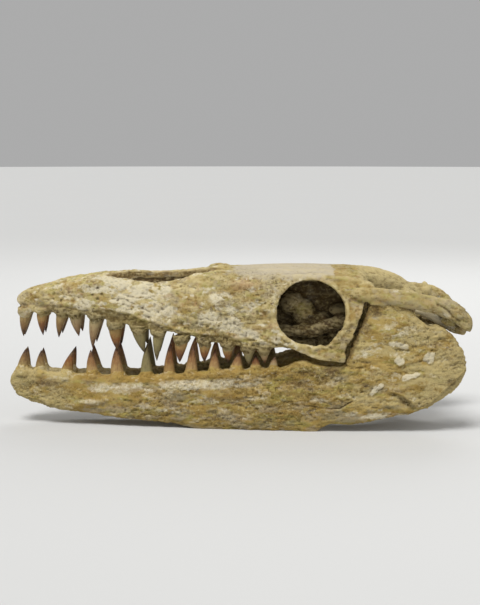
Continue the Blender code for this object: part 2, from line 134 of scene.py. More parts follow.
JAW_SQUARENESS = 0.55
JAW_SIDES = 32
SEAT_HEIGHT, SEAT_GAP = 154, 0.3  # where the back of the jaw meets the cranium's temporal bar
SEAT_REACH = (152, 182, 50, 95)  # front, back and the y that the flat seat lies between

# Teeth: x and z of the crown's neck, x and z of its tip, and its radius at the neck
UPPER_TEETH = [
    (-264, 134, -267, 108, 5.9), (-243, 135, -242, 110, 5.3), (-218, 135, -222, 108, 5.5),
    (-201, 134, -197, 110, 6.2), (-176, 130, -180, 96, 6.2), (-152, 120, -149, 93, 6.8),
    (-123, 116, -116, 91, 6.6), (-99, 111, -101, 82, 5.4), (-71, 104, -73, 81, 6.6),
    (-42, 103, -43, 82, 6.2), (-15, 99, -14, 82, 5.6), (10, 95, 11, 79, 5), (29, 94, 30, 82, 4.5)]
LOWER_TEETH = [
    (-268, 70, -264, 93, 6), (-246, 69, -245, 91, 5.4), (-213, 67, -205, 92, 6.2), (-181, 66, -183, 93, 6.2),
    (-150, 65, -151, 98, 7), (-114, 65, -113, 102, 6.2), (-86, 67, -84, 106, 5.8), (-59, 70, -56, 101, 6.4),
    (-31, 73, -30, 97, 5.8), (-4, 75, -1, 95, 6), (19, 76, 19, 92, 5.2), (40, 77.5, 42, 90, 4.4)]
UPPER_ROW_INSET = 6.5  # from the cranium's outer face to the tooth row
ROOT_LENGTH = 8  # of a tooth, hidden in its collar
CROWN_FLATNESS = 0.86  # its width across the jaw, as a share of that along it
CROWN_GROWTH = 1.1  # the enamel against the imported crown, as it lies flush with the collar
CROWN_TAPER = (1.3, 0.82)  # powers of its outline, which is slim near the tip
CROWN_BOW = (0.02, 0.035)  # its bulge forward and outward, as shares of its length
TIP_RADIUS = 0.22
ROOT_SHARES = (0.7, 0.6)  # of the radius along and across the jaw, at the root's end
CUTTING_EDGE = 0.05  # height of the keels front and back, as a share of the radius
FLUTES, FLUTE_DEPTH = 7, 0.02
CROWN_SIDES = 24
CROWN_RINGS = 20
COLLAR = [(-10, 4.8), (-3.5, 4.4), (-1.6, 2.6), (0.5, 1.6), (3.5, 0.5)]  # height over the neck, added radius

# Fineness of the skins
CRANIUM_VOXEL, JAW_VOXEL = 1.2, 1.2
SMOOTHING = 6
MOST_TRIANGLES = 190000

# Noise: what mixes a cell's three numbers, and the turn between one layer and the next
HASH_STEPS = np.array([73856093, 19349663, 83492791])
TURN = np.array(Matrix.Rotation(1.1, 3, Vector((1, 2, 3))))

# Surface marks on the cranium, as (x, z) seen from the side
LEDGE = [
    (-275, 150), (-242, 151), (-217, 150), (-190, 145), (-161, 147), (-132, 139), (-109, 131), (-72, 120),
    (-24, 116), (18, 107), (48, 108), (70, 100)]
LEDGE_END = 60  # x that the ledge and the gum under it end at
BARS_FROM = 55  # y beyond which the outer faces of the temporal bars lie
CRANIUM_CRACKS = [[(-158, 163), (-141, 162), (-125, 159), (-108, 159), (-93, 152)],
                  [(-161, 159), (-139, 157), (-121, 147), (-108, 143)],
                  [(-47, 135), (-40, 135.5), (-32, 133)],
                  [(-66, 176), (-55, 172), (-46, 169)],
                  [(-216, 162), (-196, 158), (-188, 150)],
                  [(-76, 157), (-60, 155), (-44, 150)],
                  [(-30, 197), (-22, 195.5), (-12, 196)]]
BAR_GROOVE = [(233, 156), (240, 153), (246, 148), (251, 141.5), (259, 136)]
BAR_CREST = [(158, 173), (185, 173), (195, 171), (213, 167), (232, 163)]
ROOF_CREST = [(100, 185.5), (125, 184.5), (143, 182.5), (153, 178), (160, 173)]
FORAMINA = [
    (-173, 157), (-168, 163), (-179, 162), (-148, 156), (-141, 151), (-118, 147), (-173, 170), (-110, 136),
    (-93, 146)]
CRANIUM_CHALK = [
    (-93, 169, 10, 6), (-87, 144, 9, 7), (-110, 150, 9, 4), (-3, 148, 14, 9), (-13, 130, 18, 7),
    (4, 119, 16, 5), (-204, 149, 8, 4), (-163, 172, 16, 8), (-38, 137, 12, 7), (-140, 156, 22, 9),
    (50, 112, 12, 5), (-24, 160, 12, 8), (232, 143, 14, 4), (190, 171, 10, 2)]
WHITE_SNOUT = (-148, 50)  # middle x and reach of the snout's whitest stretch
CRANIUM_OCHRE = [
    (-79, 175, 8, 6), (-58, 157, 10, 7), (31, 140, 10, 7), (-32, 125, 10, 4), (-30, 150, 7, 6),
    (-96, 146, 9, 6), (-192, 154, 4, 4), (4, 172, 20, 6), (-70, 146, 12, 6), (229, 154, 9, 4),
    (255, 145, 9, 8), (24, 126, 14, 7), (-252, 158, 8, 6), (231, 170, 8, 6), (130, 142, 8, 14),
    (96, 98, 14, 5), (-164, 136, 6, 6)]
CRANIUM_PINK = [
    (-208, 167, 6, 5), (18, 186, 12, 5), (40, 128, 7, 5), (-236, 145, 7, 4), (6, 176, 22, 7),
    (220, 158, 6, 3)]
CRANIUM_GREY = [
    (-60, 128, 22, 6), (-20, 142, 14, 6), (-236, 150, 14, 5), (60, 106, 16, 4), (202, 158, 14, 4),
    (240, 145, 12, 5), (132, 122, 7, 8)]
FILLER = (-8, 113, 183)  # x from and to, and the lowest z, of the smooth grey filler on the roof
PAINTED_SHADE_SPAN = (20, 140, 0.62, 0.85)  # x from and to, and share of the half-width, of the painted shade inside the skull
SOCKET_LUMP = (77, 146, 13, 13)  # the lump inside the eye socket, which the painted shade mostly spares

# Surface marks on the lower jaw, as (x, z) seen from the side
JAW_RIDGES = [([(-40, 42), (0, 43), (26, 49), (54, 51), (84, 48), (108, 41), (126, 40)], 1.4, 3.5),
              ([(-10, 60), (19, 64), (34, 72), (48, 75), (62, 78)], 1.3, 2.5),
              ([(-207, 25), (-185, 29), (-163, 34)], 2.2, 3.5),
              ([(266, 75), (241, 50), (218, 30)], 1.2, 1.3),
              ([(180, 51), (194, 46), (207, 36)], 1.8, 1.4),
              ([(167, 36), (182, 33), (196, 29)], 1.2, 3),
              ([(184, 81), (198, 85), (214, 91)], 1.2, 1.6),
              ([(140, 66), (152, 72), (168, 66)], 0.7, 3),
              ([(158, 153), (172, 153), (190, 149), (200, 146)], 0.8, 2)]
JAW_GROOVES = [([(-120, 58), (-60, 60), (0, 62), (40, 66)], 0.8, 3),
               ([(78, 33), (95, 29.5), (119, 30), (135, 38)], 1.1, 1.0),
               ([(60, 60), (90, 58), (124, 62)], 1.0, 4),
               ([(184, 46), (195, 38), (206, 30)], 3.4, 4),
               ([(120, 84), (140, 86), (160, 84)], 0.8, 3)]
JAW_FLAKES = [
    (189, 107, 12, 3.2, -0.25), (190, 88, 5.5, 4.5, -0.5), (203, 69, 11, 3.4, 0.42), (225, 92, 6, 7, -0.4),
    (163, 54, 10, 3.4, 0.8), (-60, 52, 11, 4, 0.1)]
JAW_CHALK_BAND = [(-190, 46), (-146, 48), (-109, 50), (-73, 53), (-36, 55), (0, 58), (30, 61)]
JAW_CHALK = [
    (186, 124, 16, 8), (20, 40, 16, 4), (-88, 22, 20, 4), (96, 40, 14, 5), (-184, 30, 20, 4),
    (172, 20, 34, 4), (148, 96, 6, 5)]
JAW_OCHRE = [
    (-165, 31, 6, 5), (-10, 42, 20, 5), (20, 46, 22, 5), (-60, 20, 30, 6), (60, 22, 30, 8), (148, 112, 7, 8),
    (251, 104, 10, 12), (-240, 55, 16, 6), (226, 128, 10, 6)]
JAW_BROWN = [
    (80, 74, 14, 8), (98, 66, 14, 7), (71, 58, 20, 6), (195, 38, 8, 6), (252, 62, 8, 8), (110, 74, 18, 8),
    (158, 146, 8, 9), (150, 126, 7, 10), (-236, 52, 22, 7)]
JAW_GREY = [(182, 32, 16, 3.5), (110, 18, 16, 6), (-80, 40, 26, 7), (163, 54, 12, 7), (120, 66, 14, 7)]
CORONOID_PINK, FRONT_PINK = [(78, 87, 8, 3)], [(-240, 52, 18, 7)]
PLATE_CORNER = [(161, 148, 9, 9)]  # painted shade, under the temporal bar
PLATE_FRONT = [(124, 84), (131, 98), (140, 119), (148, 138), (152, 154)]  # painted shade too, beside the slot
BEVEL = (218, 31, 0.69, 0.72)  # x and z of its start, and the way that it runs, back and down
RIGHT_SHIFT = 11  # the marks of the right side lie this much further back

# Height or depth of the marks
LEDGE_HEIGHT, LEDGE_UNDERCUT = 0.9, 1.1
CREST_HEIGHT, GROOVE_DEPTH, ROOF_CREST_HEIGHT = 1.3, 1.7, 0.6
RIM_HEIGHT, CRACK_DEPTH, FORAMEN_DEPTH = 1.7, 0.6, 1.7
FLAKE_HEIGHT, BEVEL_DEPTH = 0.9, 1.5

# Bone colours: ground, lighter and deeper mottle
CREAM_BONE = (0.36, 0.275, 0.1, 1), (0.55, 0.455, 0.235, 1), (0.19, 0.128, 0.043, 1)
TAN_BONE = (0.265, 0.177, 0.045, 1), (0.4, 0.29, 0.098, 1), (0.135, 0.078, 0.02, 1)
# The first of these darkens the hollows: part grime, part painted shade where little light reaches.
DIRT_AND_SHADE, PIT, GRAIN = (0.06, 0.038, 0.015, 1), (0.085, 0.052, 0.018, 1), (0.58, 0.49, 0.27, 1)
STREAK = (0.42, 0.28, 0.12, 1)  # the paler streaks of the enamel
FLOOR_GREY, BACKDROP_GREY = (0.56, 0.56, 0.55, 1), (0.82, 0.82, 0.82, 1)

# Stains of the bone, with painted shade and painted light among them: mask, colour and strength, in the order
# that they are laid on
STAINS_SHADE_AND_LIGHT = [("tan", (0.28, 0.2, 0.062, 1), 0.75), ("green", (0.31, 0.275, 0.07, 1), 0.55),
          ("lilac", (0.36, 0.295, 0.2, 1), 0.6), ("ochre", (0.31, 0.19, 0.045, 1), 0.65),
          ("pink", (0.42, 0.25, 0.15, 1), 0.5), ("pale", (0.46, 0.375, 0.18, 1), 0.75),
          # chalk also paints light onto two shaded parts, besides the chalky patches
          ("grey", (0.21, 0.19, 0.12, 1), 0.65), ("chalk_and_painted_light", (0.66, 0.6, 0.44, 1), 0.85),
          ("olive", (0.135, 0.098, 0.032, 1), 0.85), ("brown", (0.085, 0.05, 0.018, 1), 0.85),
          # inside is painted shade, near black, where little light reaches
          ("filler", (0.43, 0.375, 0.275, 1), 0.9), ("inside", (0.042, 0.023, 0.008, 1), 0.9)]

# Enamel colours: where it leaves the bone, halfway and at the tip
ENAMEL = {"tan": ((0.31, 0.22, 0.085, 1), (0.2, 0.11, 0.036, 1), (0.05, 0.02, 0.009, 1)),
          "pale": ((0.35, 0.27, 0.13, 1), (0.28, 0.18, 0.085, 1), (0.09, 0.034, 0.013, 1)),
          "green": ((0.25, 0.21, 0.085, 1), (0.19, 0.155, 0.065, 1), (0.08, 0.058, 0.024, 1)),
          "orange": ((0.31, 0.2, 0.065, 1), (0.21, 0.08, 0.018, 1), (0.05, 0.022, 0.01, 1)),
          "mauve": ((0.4, 0.26, 0.1, 1), (0.25, 0.125, 0.045, 1), (0.08, 0.028, 0.012, 1)),
          "red": ((0.34, 0.21, 0.07, 1), (0.19, 0.075, 0.022, 1), (0.045, 0.015, 0.008, 1))}
UPPER_ENAMEL = "tan red tan pale pale orange green green red orange orange green pale".split()
LOWER_ENAMEL = "tan tan orange mauve mauve green red mauve mauve mauve red pale".split()


def along(table, x):
    """Value at x on the smooth curve through a table of (x, value)."""
    xs, values = np.array(table, float).T
    slopes = np.gradient(values, xs)
    steps = np.diff(values) / np.diff(xs)
    flat = np.sign(steps[:-1]) != np.sign(steps[1:])
    slopes[1:-1][flat] = 0
    i = np.clip(np.searchsorted(xs, x) - 1, 0, len(xs) - 2)
    width = xs[i + 1] - xs[i]
    t = np.clip((x - xs[i]) / width, 0, 1)
    rise = (2 * t - 3) * t * t
    return (values[i] * (1 + rise) - values[i + 1] * rise
            + width * t * (1 - t) * (slopes[i] * (1 - t) - slopes[i + 1] * t))


def loft(rings):
    """A closed mesh skinned over rings of (x, y, z) points in millimetres."""
    mesh = bmesh.new()
    made = [[mesh.verts.new(Vector(p) * MM) for p in ring] for ring in rings]
    count = len(made[0])
    for near, far in zip(made, made[1:]):
        for i in range(count):
            j = (i + 1) % count
            mesh.faces.new((near[i], near[j], far[j], far[i]))
    mesh.faces.new(made[0][::-1])
    mesh.faces.new(made[-1])
    bmesh.ops.recalc_face_normals(mesh, faces=mesh.faces)
    return mesh


def turns(count):
    """The angles that divide a full turn into so many parts."""
    return [2 * math.pi * k / count for k in range(count)]


def tube(stations, side=1, sides=20, between=8):
    """A bar of elliptical section through (x, y, z, half-width, half-height) stations."""
    table = np.array(stations, float)
    table[:, 1] *= side
    spots = np.arange(len(table))
    steps = np.linspace(0, len(table) - 1, (len(table) - 1) * between + 1)
    path = np.array([[along(list(zip(spots, column)), s) for column in table.T] for s in steps])
    rings = []
    for i, (x, y, z, wide, tall) in enumerate(path):
        ahead = Vector(path[min(i + 1, len(path) - 1), :3] - path[max(i - 1, 0), :3]).normalized()
        across = ahead.cross(Vector((0, 0, 1))).normalized()
        upward = across.cross(ahead)
        rings.append([Vector((x, y, z)) + across * wide * math.cos(a) + upward * tall * math.sin(a)
                      for a in turns(sides)])
    return loft(rings)


def ball(centre, radii, side=1):
    mesh = bmesh.new()
    x, y, z = centre
    place = Matrix.Translation(Vector((x, y * side, z)) * MM) @ Matrix.Diagonal((*(Vector(radii) * MM), 1))
    bmesh.ops.create_icosphere(mesh, subdivisions=4, radius=1, matrix=place)
    return mesh


def prism(outline, near, far, side):
    """A block whose (x, z) outline runs from one y to another, on one side of the skull."""
    return loft([[(x, side * y, z) for x, z in outline] for y in (near, far)])


def ellipse(x, z, wide, tall, count=64):
    return [(x + wide * math.cos(a), z + tall * math.sin(a)) for a in turns(count)]


def round_bar(stations, sides=24):
    """A round-sectioned post through (x, y, z, radius) stations, level at each."""
    return loft([[(x + r * math.cos(a), y + r * math.sin(a), z) for a in turns(sides)]
                 for x, y, z, r in stations])


def join(meshes):
    """One bmesh holding several."""
    whole = bmesh.new()
    for mesh in meshes:
        data = bpy.data.meshes.new("piece")
        mesh.to_mesh(data)
        mesh.free()
        whole.from_mesh(data)
        bpy.data.meshes.remove(data)
    return whole


def add_object(name, data):
    obj = bpy.data.objects.new(name, data)
    bpy.context.scene.collection.objects.link(obj)
    return obj


def make_object(name, mesh):
    data = bpy.data.meshes.new(name)
    mesh.to_mesh(data)
    mesh.free()
    return add_object(name, data)


def bake(obj):
    """Gives an object the mesh that its modifiers make."""
    bpy.context.view_layer.update()
    graph = bpy.context.evaluated_depsgraph_get()
    data = bpy.data.meshes.new_from_object(obj.evaluated_get(graph))
    obj.modifiers.clear()
    obj.data = data
    return obj


def cut(obj, *cutters):
    """Takes the joined cutters out of an object."""
    tool = make_object("cutter", join(cutters))
    boolean = obj.modifiers.new("cut", "BOOLEAN")
    boolean.operation = "DIFFERENCE"
    boolean.object = tool
    bake(obj)
    bpy.data.objects.remove(tool)
    return obj


def fuse(obj, voxel):
    """Grows an object's overlapping shapes into one fine skin."""
    remesh = obj.modifiers.new("skin", "REMESH")
    remesh.mode = "VOXEL"
    remesh.voxel_size = voxel * MM
    smooth = obj.modifiers.new("soften", "SMOOTH")
    smooth.factor = 0.5
    smooth.iterations = SMOOTHING
    return bake(obj)


def thin(obj, triangles):
    """Collapses edges where the skin is flattest, down to so many triangles."""
    count = sum(len(face.vertices) - 2 for face in obj.data.polygons)
    if count > triangles:
        decimate = obj.modifiers.new("thin", "DECIMATE")
        decimate.ratio = triangles / count
        bake(obj)
    return obj


def face_section(x):
    """The roof, the side walls and the hollow under them, as one ring at x."""
    wide, top, edge, low = (along(t, x) for t in (HALF_WIDTH, ROOF_TOP, ROOF_EDGE, JAW_LINE))
    thick = min(along(MARGIN_THICKNESS, x), wide - 1)
    rise = edge - low
    outer = [(wide, low), (wide, low + 0.3 * rise), (0.95 * wide, low + 0.62 * rise),
             (0.86 * wide, low + 0.88 * rise), (0.76 * wide, edge), (0.5 * wide, edge + 0.62 * (top - edge)),
             (0.22 * wide, edge + 0.93 * (top - edge))]
    depth = along(CAVITY_DEPTH, x)
    ceiling = depth * (top - WALL - low)
    shoulder = depth * max(edge - WALL - 2 - low, 0)
    reach = max(wide - thick, 0.5)
    inner = [(reach, low), (reach, low + 0.3 * shoulder),
             (max(0.95 * wide - WALL, 0.4), low + 0.62 * shoulder),
             (max(0.7 * wide - WALL * 0.6, 0.3), low + shoulder), (0.25 * wide, low + ceiling)]
    left = [(x, -y, z) for y, z in outer] + [(x, 0, top)]
    right = [(x, y, z) for y, z in reversed(outer)]
    under = ([(x, y, z) for y, z in inner] + [(x, 0, low + ceiling)]
             + [(x, -y, z) for y, z in reversed(inner)])
    return left + right + under


def face_shell():
    """Snout, cheeks and roof, with the eye sockets and nostrils cut through."""
    xs = [FACE_FRONT, FACE_FRONT + 2, *np.arange(FACE_FRONT + 5, FACE_BACK, FACE_STEP), FACE_BACK]
    shell = make_object("shell", loft([face_section(x) for x in xs]))
    for side in SIDES.values():
        cut(shell, prism(ellipse(*ORBIT), *ORBIT_DEPTH, side))
        cut(shell, prism(ellipse(*ORBIT_CORNER, count=32), *ORBIT_DEPTH, side))
        cut(shell, prism(POSTORBITAL_BACK, *POSTORBITAL_DEPTH, side))
        cut(shell, ball(NARIS[:3], NARIS[3:], side))
    mesh = bmesh.new()
    mesh.from_mesh(shell.data)
    bpy.data.objects.remove(shell)
    return mesh


def tooth_places(side):
    """Every tooth of one side: row, name, neck, tip, radius and the way that it points."""
    places = []
    for row, teeth, down in (("upper", UPPER_TEETH, -1), ("lower", LOWER_TEETH, 1)):
        for number, (x, z, tip_x, tip_z, radius) in enumerate(teeth, 1):
            inset = {"upper": along(HALF_WIDTH, x) - UPPER_ROW_INSET, "lower": along(JAW_CENTRE, x)}[row]
            y = SIDES[side] * inset
            places.append((row, f"{side}_{row}_tooth_{number:02d}", Vector((x, y, z)),
                           Vector((tip_x, y, tip_z)), radius, down))
    return places


def collars(side, wanted):
    """The posts of bone that the teeth of one row grow from."""
    return [round_bar([(neck.x, neck.y, neck.z + down * height, radius + wider) for height, wider in COLLAR])
            for row, _, neck, _, radius, down in tooth_places(side) if row == wanted]


def seat_block(height, direction, side):
    """A cutter that levels the flat seat between jaw and temporal bar, from above or from below."""
    front, back, near, far = SEAT_REACH
    over = height + direction * 25
    return prism([(front, height), (back, height), (back, over), (front, over)], near, far, side)


def cranium():
    """Everything above the jaws, grown together."""
    parts = [face_shell()] + [tube(bar) for bar in (VOMER, PARIETAL, BRAINCASE, PALATE_KEEL)]
    parts += [ball(*mass) for mass in MIDLINE_MASSES]
    for side in SIDES.values():
        for bar in (TEMPORAL_BAR, SUPRATEMPORAL_ARM, TEMPORAL_WALL, LOWER_ARM, PAROCCIPITAL_PROCESS,
                    PTERYGOID, PALATINE, ECTOPTERYGOID, BASIPTERYGOID):
            parts.append(tube(bar, side))
        parts += [ball(*mass, side) for mass in PAIRED_MASSES]
        y, root = PTERYGOID_TEETH_ROOT
        for x, radius, tip in PTERYGOID_TEETH:
            parts.append(round_bar([(x, side * y, root, radius), (x + 2, side * y, tip, 0.4 * radius)]))
    for name in SIDES:
        parts += collars(name, "upper")
    obj = fuse(make_object("cranium_bone", join(parts)), CRANIUM_VOXEL)
    height, radius, front, back = FORAMEN_MAGNUM
    canal = loft([[(x, radius * math.cos(a), height + radius * math.sin(a)) for a in turns(24)]
                  for x in (front, back)])
    cut(obj, canal)
    return cut(obj, *[seat_block(SEAT_HEIGHT + SEAT_GAP, -1, side) for side in SIDES.values()])


def jaw_section(x, side):
    """A tall rounded ring of a lower jaw at x."""
    top, low, centre, thick = (along(t, x) for t in (JAW_TOP, JAW_BOTTOM, JAW_CENTRE, JAW_THICKNESS))
    start, end, lean_z, lean = PLATE_LEAN
    share = np.clip((end - x) / (end - start), 0, 1) * (x > start - 1)
    ring = []
    for turn in turns(JAW_SIDES):
        c, s = math.cos(turn), math.sin(turn)
        out = math.copysign(abs(c) ** JAW_SQUARENESS, c)
        rise = math.copysign(abs(s) ** JAW_SQUARENESS, s)
        z = (top + low) / 2 + rise * (top - low) / 2
        inward = lean * share * np.clip((z - lean_z) / 50, 0, 1)
        ring.append((x, side * (centre - inward - out * thick / 2), z))
    return ring


def lower_jaw(name):
    """Dentary, back of the jaw and quadrate in one mass, as the restorer left them."""
    side = SIDES[name]
    xs = [*np.arange(JAW_FRONT, JAW_BACK, JAW_STEP), JAW_BACK]
    parts = [loft([jaw_section(x, side) for x in xs])] + collars(name, "lower")
    obj = fuse(make_object(f"{name}_lower_jaw_bone", join(parts)), JAW_VOXEL)
    return cut(obj, seat_block(SEAT_HEIGHT, 1, side))


def noise_at(points, size, seed):
    """Smooth lumps of about the given size at (n, 3) points, from -1 to 1."""
    spots = points / np.array(size) + 31.7 * seed
    low = np.floor(spots)
    part = spots - low
    part = part ** 3 * (part * (part * 6 - 15) + 10)
    low = low.astype(np.int64)
    total = np.zeros(len(points))
    for corner in itertools.product((0, 1), repeat=3):
        mixed = (low + np.array(corner)) @ HASH_STEPS + seed * 7919
        mixed = (mixed ^ (mixed >> 13)) * 1274126177
        value = ((mixed ^ (mixed >> 16)) & 0xFFFF) / 32767.5 - 1
        total += value * np.prod(np.where(corner, part, 1 - part), axis=1)
    return total


def layered(points, size, seed, octaves=4):
    """Noise with finer and finer lumps added, about -1 to 1, each layer turned against the last."""
    spots = points / np.array(size)
    total = np.zeros(len(points))
    for k in range(octaves):
        spots = spots @ TURN
        total += 0.6 ** k * noise_at(spots * 2.1 ** k, 1, seed + 5 * k)
    return total * 1.1


def ramp(low, high, value):
    """0 at low and 1 at high, with soft ends."""
    t = np.clip((value - low) / (high - low), 0, 1)
    return t * t * (3 - 2 * t)


def distance_to_line(x, z, line):
    """Shortest distance from (x, z) points to a polyline."""
    best = np.full(len(x), 1e9)
    for (ax, az), (bx, bz) in zip(line, line[1:]):
        t = np.clip(((x - ax) * (bx - ax) + (z - az) * (bz - az)) / ((bx - ax) ** 2 + (bz - az) ** 2), 0, 1)
        best = np.minimum(best, np.hypot(x - ax - t * (bx - ax), z - az - t * (bz - az)))
    return best


def near_line(x, z, line, width):
    """1 on a polyline, fading to 0 beside it."""
    return np.exp(-(distance_to_line(x, z, line) / width) ** 2)


def strongest(*masks):
    """The greatest of several masks, point by point."""
    return np.maximum.reduce(masks)


def stain(x, z, spots):
    """How deep (x, z) points lie in soft-edged oval spots, 0 to 1."""
    return strongest(*[np.exp(-((x - cx) / wide) ** 2 - ((z - cz) / tall) ** 2)
                       for cx, cz, wide, tall in spots])


def flake(x, z, cx, cz, wide, tall, slope):
    """1 on a tilted oblong chip of bone, 0 off it."""
    u = (x - cx) * math.cos(slope) + (z - cz) * math.sin(slope)
    v = (z - cz) * math.cos(slope) - (x - cx) * math.sin(slope)
    return ramp(1.15, 0.85, (np.abs(u / wide) ** 3 + np.abs(v / tall) ** 3) ** (1 / 3))


def surface(data):
    """A mesh's vertex positions, in millimetres, and its normals."""
    found = {}
    for kind in ("co", "normal"):
        found[kind] = np.empty(len(data.vertices) * 3)
        data.vertices.foreach_get(kind, found[kind])
    return found["co"].reshape(-1, 3) / MM, found["normal"].reshape(-1, 3)


def place_vertices(data, points):
    """Stores points, in the millimetres of the tables, as a mesh's vertices in the frame."""
    data.vertices.foreach_set("co", ((points - (ORIGIN_X, 0, 0)) * MM).ravel())
    data.shade_smooth()
    data.update()


def spread(data, values, rounds):
    """Values per vertex, averaged with their neighbours so many times."""
    ends = np.empty(len(data.edges) * 2, dtype=np.int64)
    data.edges.foreach_get("vertices", ends)
    a, b = ends.reshape(-1, 2).T
    count = len(data.vertices)
    degree = np.maximum(np.bincount(a, minlength=count) + np.bincount(b, minlength=count), 1)
    for _ in range(rounds):
        summed = np.stack([np.bincount(a, column[b], count) + np.bincount(b, column[a], count)
                           for column in values.T], axis=1)
        values = 0.5 * values + 0.5 * summed / degree[:, None]
    return values


def hollows(data, rounds):
    """How far each vertex lies below its surroundings, in millimetres."""
    points, normals = surface(data)
    return ((spread(data, points, rounds) - points) * normals).sum(axis=1)


def patches(points, size, seed, share, soft=0.15):
    """Ragged islands that cover about the given share of the surface: 1 on them, 0 off them."""
    level = 0.8 * (1 - 2 * share)
    return ramp(level - soft, level + soft, layered(points, size, seed))


def hairlines(points, size, seed):
    """Thin wandering cracks, where a lumpy field crosses zero: 1 along them."""
    broken = ramp(0, 0.35, noise_at(points, size, seed + 3))
    return ramp(0.11, 0.02, np.abs(layered(points, size, seed, 3))) * broken


def bone_relief(points, seed):
    """Lumps, ridges along the bone, flaked-off films, pits and hairline cracks, in millimetres."""
    rough = 0.55 + 0.7 * patches(points, (70, 30, 24), seed + 8, 0.6, 0.5)
    relief = 0.8 * layered(points, (34, 22, 18), seed) + 0.6 * layered(points, (7, 6, 5), seed + 1, 3)
    relief += 0.3 * layered(points, (28, 9, 7), seed + 7, 3)
    relief -= 0.55 * patches(points, (20, 13, 10), seed + 2, 0.35, 0.13)
    relief -= 0.4 * patches(points, (10, 7, 5.5), seed + 3, 0.25, 0.1)
    relief -= 0.9 * ramp(0.42, 0.75, noise_at(points, (4.6, 3.8, 3.2), seed + 4))
    return rough * relief - 0.5 * hairlines(points, (34, 14, 10), seed + 5)


def mark_x(points):
    """The x that the tables of marks mean: on the right side each mark lies further back."""
    return points[:, 0] - RIGHT_SHIFT * (points[:, 1] > 0)


def outward(points, normals):
    """How squarely the surface faces away from the midline, -1 to 1."""
    return normals[:, 1] * np.sign(points[:, 1])


def side_of_face(points, normals):
    """1 on the outer sides of the snout and cheeks, 0 on the roof, the palate and inside."""
    half = along(HALF_WIDTH, np.clip(points[:, 0], FACE_FRONT, FACE_BACK))
    share = np.abs(points[:, 1]) / half
    return ramp(0.05, 0.45, outward(points, normals)) * ramp(0.45, 0.65, share)


def over_ledge(points):
    """Height above the rough ledge that overhangs the upper tooth row."""
    return points[:, 2] - np.interp(points[:, 0], *np.array(LEDGE).T) - 1.5 * noise_at(points, 14, 12)


def orbit_rim(points):
    """1 on the raised rim of each eye socket, which is widest in front and above."""
    cx, cz, wide, tall = ORBIT
    across, upward = (points[:, 0] - cx) / wide, (points[:, 2] - cz) / tall
    off_edge = (np.hypot(across, upward) - 1) * wide
    reach = 3.2 + 2 * ramp(0, 1.2, upward - across) + 1.1 * noise_at(points, 9, 15)
    uneven = 0.75 + 0.6 * noise_at(points, 6, 16)
    return uneven * np.exp(-((off_edge - reach) / reach) ** 2) * (np.abs(points[:, 1]) > 45)


def in_nostril(points):
    """1 on the walls of the nostrils, 0 outside them."""
    x, y, z = points.T
    cx, cy, cz, *radii = NARIS
    return ramp(1.4, 1.1, ((x - cx) / radii[0]) ** 2 + ((np.abs(y) - cy) / radii[1]) ** 2
                + ((z - cz) / radii[2]) ** 2)


def roof_filler(points):
    """1 on the smooth grey filler that restores part of the roof."""
    front, back, low = FILLER
    ragged = 5 * layered(points, (16, 12, 10), 3)
    return (ramp(front - 12, front + 14, mark_x(points) + ragged)
            * ramp(back + 2, back - 2, mark_x(points) + 0.4 * ragged)
            * ramp(low - 3, low + 5, points[:, 2] + 0.7 * ragged))


def cranium_lines(points):
    """The long cracks and the small nerve openings of the snout: how deep a point lies in each."""
    shifted, z = mark_x(points), points[:, 2]
    wander = z + 1.1 * noise_at(points, 5, 14)
    broken = ramp(-0.45, 0.1, noise_at(points, (8, 9, 6), 13))
    cracks = broken * sum(near_line(shifted, wander, line, 0.9) for line in CRANIUM_CRACKS)
    holes = sum(np.exp(-((shifted - hx) / 2.4) ** 2 - ((z - hz) / 1.4) ** 2) for hx, hz in FORAMINA)
    return np.minimum(cracks, 1), np.minimum(holes, 1)


def along_edge(points, line, width):
    """1 on a line that runs along a temporal bar or the roof's edge, 0 off it."""
    return near_line(mark_x(points), points[:, 2] + 0.7 * noise_at(points, 7, 17), line, width)


def cranium_relief(points, normals):
    """How far weathering and the marks raise or lower the cranium's skin."""
    cheek, over = side_of_face(points, normals), over_ledge(points)
    x, y, z = points.T
    outer = ramp(0.1, 0.5, outward(points, normals)) * (np.abs(y) > BARS_FROM)
    smooth = strongest(roof_filler(points), 0.55 * ramp(92, 125, x) * (z > 150))
    relief = (1 - 0.85 * smooth) * bone_relief(points, 1)
    ledge = cheek * (x < LEDGE_END) * (0.3 + 0.7 * ramp(-215, -165, x))
    relief += ledge * (LEDGE_HEIGHT * ramp(-2.5, 1, over) * np.exp(-np.maximum(over, 0) / 10)
                       - LEDGE_UNDERCUT * ramp(1, -2.5, over) * np.exp(np.minimum(over, 0) / 16))
    relief += outer * (CREST_HEIGHT * along_edge(points, BAR_CREST, 1.8)
                       - GROOVE_DEPTH * along_edge(points, BAR_GROOVE, 1.6))
    relief += ROOF_CREST_HEIGHT * along_edge(points, ROOF_CREST, 2) * (np.abs(y) > 35)
    cracks, holes = cranium_lines(points)
    return relief - cheek * (CRACK_DEPTH * cracks + FORAMEN_DEPTH * holes) + RIM_HEIGHT * orbit_rim(points)


def cranium_painted_shade(points):
    """Painted shade, 1 where little light reaches the cranium: in the eye sockets and the nostrils, and at
    the back.
    """
    x, y, z = points.T
    front, back, near, far = PAINTED_SHADE_SPAN
    on_face = np.clip(x, FACE_FRONT, FACE_BACK)
    below_roof = ramp(3, 9, along(ROOF_EDGE, on_face) - z)
    sockets = (ramp(front, front + 25, x) * ramp(back + 10, back, x) * below_roof
               * ramp(far, near, np.abs(y) / along(HALF_WIDTH, on_face))
               * (1 - 0.85 * stain(x, z, [SOCKET_LUMP])))
    nostrils = in_nostril(points) * ramp(181, 176, z)
    rear = ramp(52, 46, np.abs(y)) * ramp(190, 202, x) * ramp(152, 146, z)
    return strongest(sockets, 0.9 * nostrils, 0.7 * rear)


